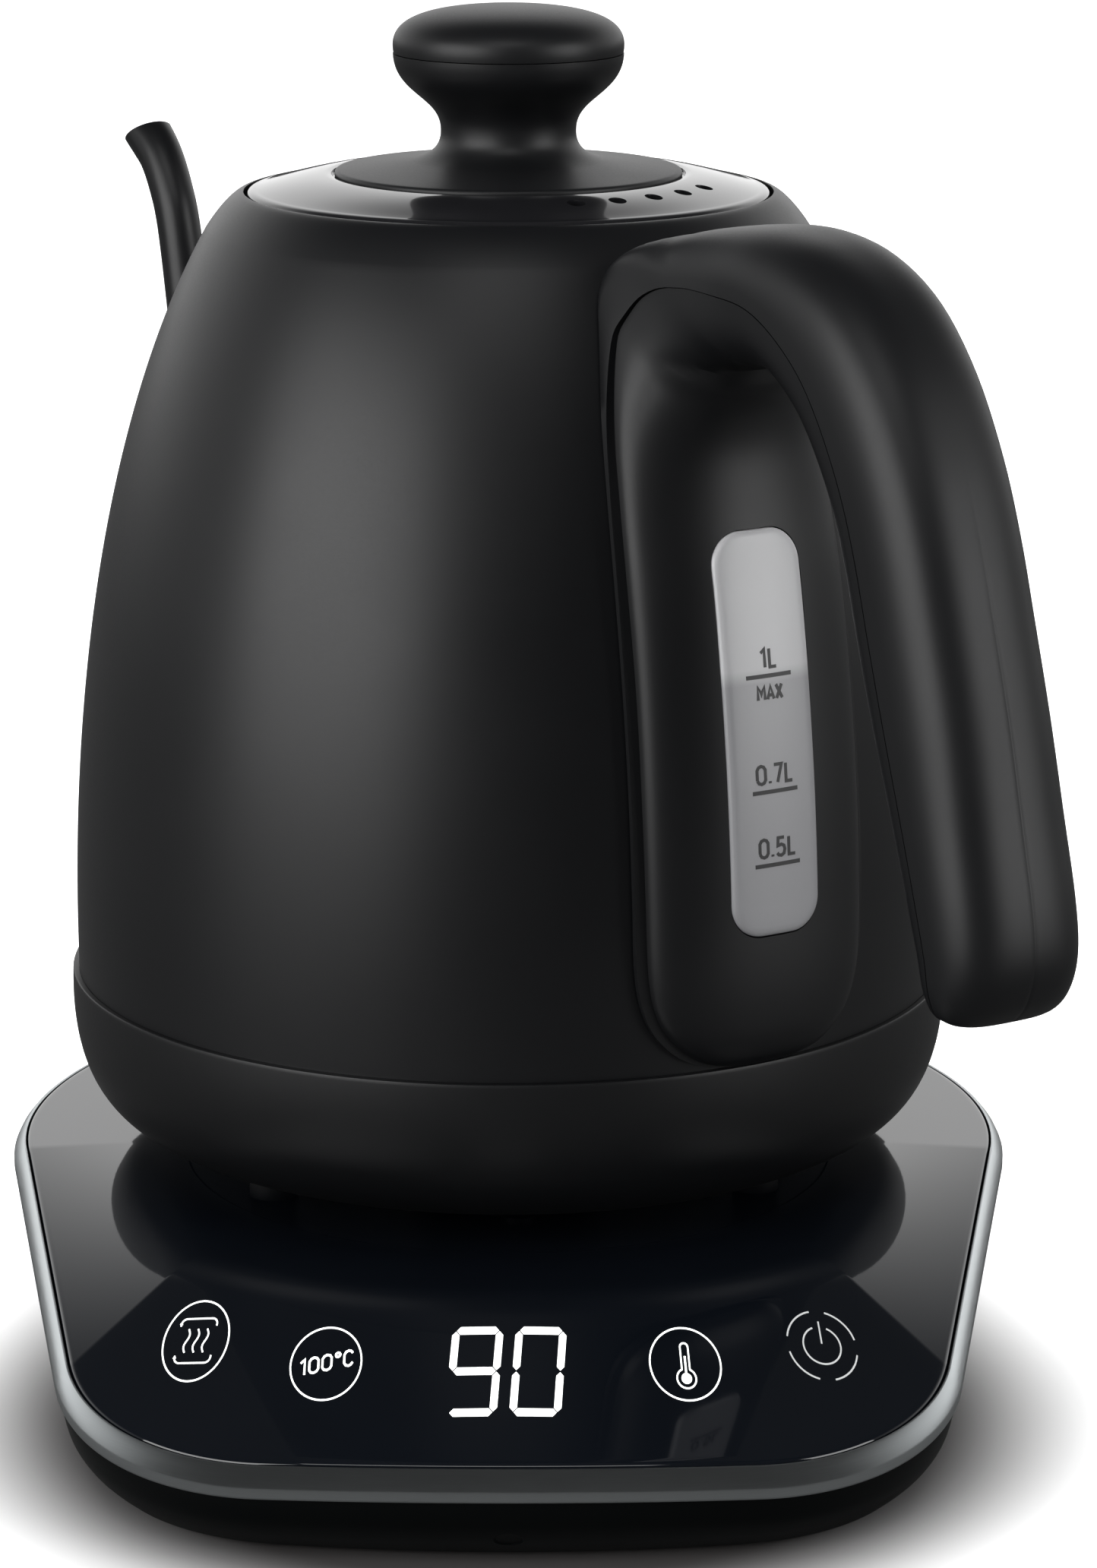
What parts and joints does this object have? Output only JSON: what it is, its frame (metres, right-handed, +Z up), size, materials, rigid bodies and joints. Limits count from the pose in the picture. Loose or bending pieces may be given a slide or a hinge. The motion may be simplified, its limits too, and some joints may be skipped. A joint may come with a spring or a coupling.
{
  "type": "gooseneck kettle",
  "caption": "Gooseneck pour-over kettle with knob lid, hooked handle and level window, standing on a powered base with a sloping touch panel.",
  "frame": {"origin": "on the table, on the kettle's vertical axis, at the underside of the base's foot ring", "axes": "+Z up, -Y towards the control panel; the handle points 32.5 degrees from -Y towards +X"},
  "size_m": [0.174, 0.2421, 0.2271],
  "materials": {
    "coated_steel": "matte powder-coated black",
    "black_plastic": "matte black",
    "soft_black": "soft-touch matte black",
    "steel": "brushed",
    "silicone": "matte silicone",
    "silicone_red": "matte silicone",
    "aluminium": "cast",
    "element_sheath": "heat-tinted sheath",
    "ceramic": "ceramic",
    "rubber": "matte",
    "window": "frosted translucent grey",
    "print_dark": "printed ink",
    "brass": "plain",
    "gloss_black": "high gloss black",
    "black_glass": "gloss black glass, opaque",
    "brushed_rim": "fine brushed silver",
    "board": "solder mask",
    "diffuser": "clear light guide",
    "blue_plastic": "moulded",
    "winding": "tape-wrapped winding",
    "icon_glow": "lit white symbols"
  },
  "bodies": {
    "base": {"base_glass": "black_glass", "base_rim": "brushed_rim", "base_housing": "black_plastic", "base_floor": "black_plastic", "foot_ring": "rubber", "front_feet": "rubber", "base_screws": "steel", "connector_boss": "black_plastic", "boss_contacts": "brass", "control_board": "board", "display_module": "black_plastic", "touch_springs": "brass", "light_guides": "diffuser", "power_board": "board", "relay": "blue_plastic", "transformer": "winding", "control_icons": "icon_glow", "cord_gland": "rubber"},
    "connector": {"connector_socket": "black_plastic", "socket_contacts": "brass"},
    "kettle": {"body_shell": "coated_steel", "casing": "black_plastic", "heater_plate": "steel", "floor_seal": "silicone", "heat_spreader": "aluminium", "heating_element": "element_sheath", "thermal_cutouts": "ceramic", "temperature_probe": "steel", "probe_grommet": "silicone_red", "bottom_cover": "black_plastic", "kettle_feet": "rubber", "cover_screws": "steel", "spout_tube": "coated_steel", "spout_flange": "coated_steel", "spout_strainer": "steel", "handle_shell": "soft_black", "handle_liner": "soft_black", "handle_bracket": "steel", "handle_screws": "steel", "level_window": "window", "window_seal": "silicone", "level_marks": "print_dark"},
    "lid": {"lid_ring": "gloss_black", "lid_disc": "soft_black", "knob_cap": "soft_black", "knob_screw": "steel", "lid_skirt": "steel", "lid_gasket": "silicone"}
  },
  "joints": [
    {"name": "kettle_lift", "type": "slide", "parent": "base", "child": "connector", "axis": [0, 0, 1], "range_m": [0, 0.2]},
    {"name": "kettle_swivel", "type": "hinge", "parent": "connector", "child": "kettle", "pos_m": [0, 0, 0.04], "axis": [0, 0, 1], "continuous": true},
    {"name": "lid_lift", "type": "slide", "parent": "kettle", "child": "lid", "axis": [0, 0, 1], "range_m": [0, 0.1]}
  ]
}
